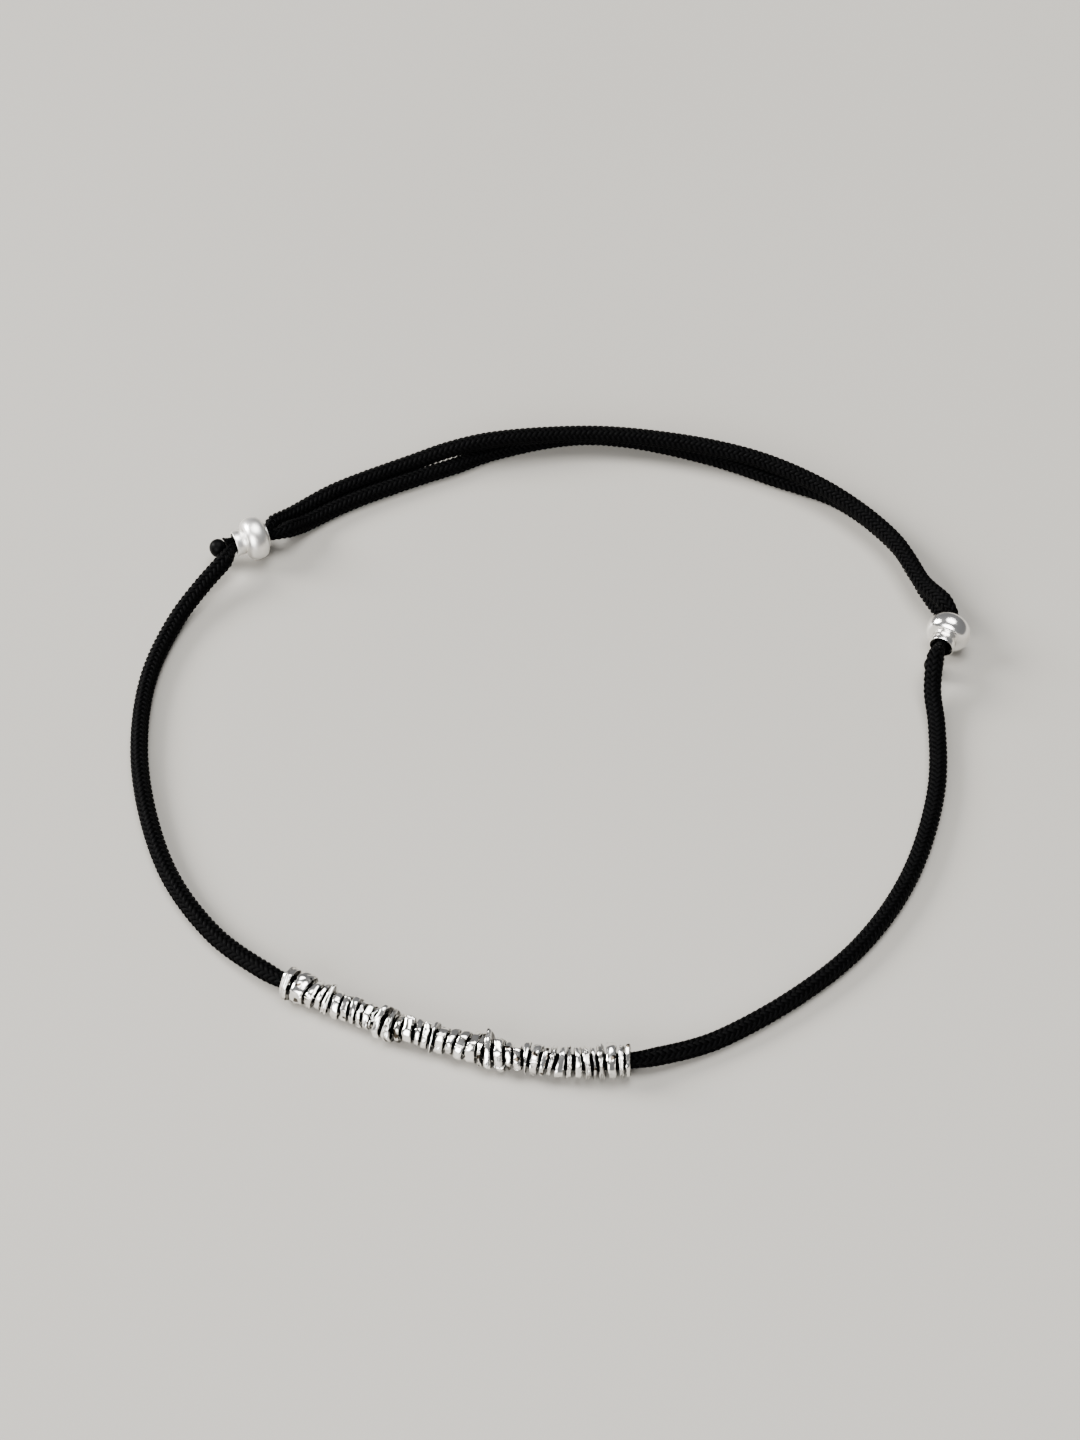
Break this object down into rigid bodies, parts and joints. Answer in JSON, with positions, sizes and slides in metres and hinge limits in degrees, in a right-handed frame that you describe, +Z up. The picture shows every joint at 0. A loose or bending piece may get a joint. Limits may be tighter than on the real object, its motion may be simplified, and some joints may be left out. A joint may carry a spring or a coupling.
{
  "type": "string bracelet",
  "caption": "Adjustable string bracelet: a round braided cord in a loop with a short bar of drilled silver chips, and two slide beads that grip its doubled back.",
  "frame": {"origin": "middle of the bracelet's bounding box, at the surface it lies on", "axes": "+Z up from that surface, +Y from the bar of chips towards the doubled stretch at the back, +X to the right seen from the bar's side"},
  "size_m": [0.0644, 0.066, 0.0036],
  "materials": {
    "black_nylon": "matt black round braid",
    "melted_nylon": "smooth black melted nylon",
    "silver": "bright polished silver"
  },
  "bodies": {
    "root": {"cord": "black_nylon", "silver_chip_01": "silver", "silver_chip_02": "silver", "silver_chip_03": "silver", "silver_chip_04": "silver", "silver_chip_05": "silver", "silver_chip_06": "silver", "silver_chip_07": "silver", "silver_chip_08": "silver", "silver_chip_09": "silver", "silver_chip_10": "silver", "silver_chip_11": "silver", "silver_chip_12": "silver", "silver_chip_13": "silver", "silver_chip_14": "silver", "silver_chip_15": "silver", "silver_chip_16": "silver", "silver_chip_17": "silver", "silver_chip_18": "silver", "silver_chip_19": "silver", "silver_chip_20": "silver", "silver_chip_21": "silver", "silver_chip_22": "silver", "silver_chip_23": "silver", "silver_chip_24": "silver", "silver_chip_25": "silver", "silver_chip_26": "silver", "silver_chip_27": "silver", "silver_chip_28": "silver", "silver_chip_29": "silver", "silver_chip_30": "silver", "silver_chip_31": "silver", "silver_chip_32": "silver", "silver_chip_33": "silver", "silver_chip_34": "silver", "silver_chip_35": "silver", "silver_chip_36": "silver", "silver_chip_37": "silver", "silver_chip_38": "silver", "silver_chip_39": "silver", "silver_chip_40": "silver", "left_slide_bead": "silver", "right_slide_bead": "silver", "left_melted_end": "melted_nylon", "right_melted_end": "melted_nylon"}
  },
  "joints": []
}
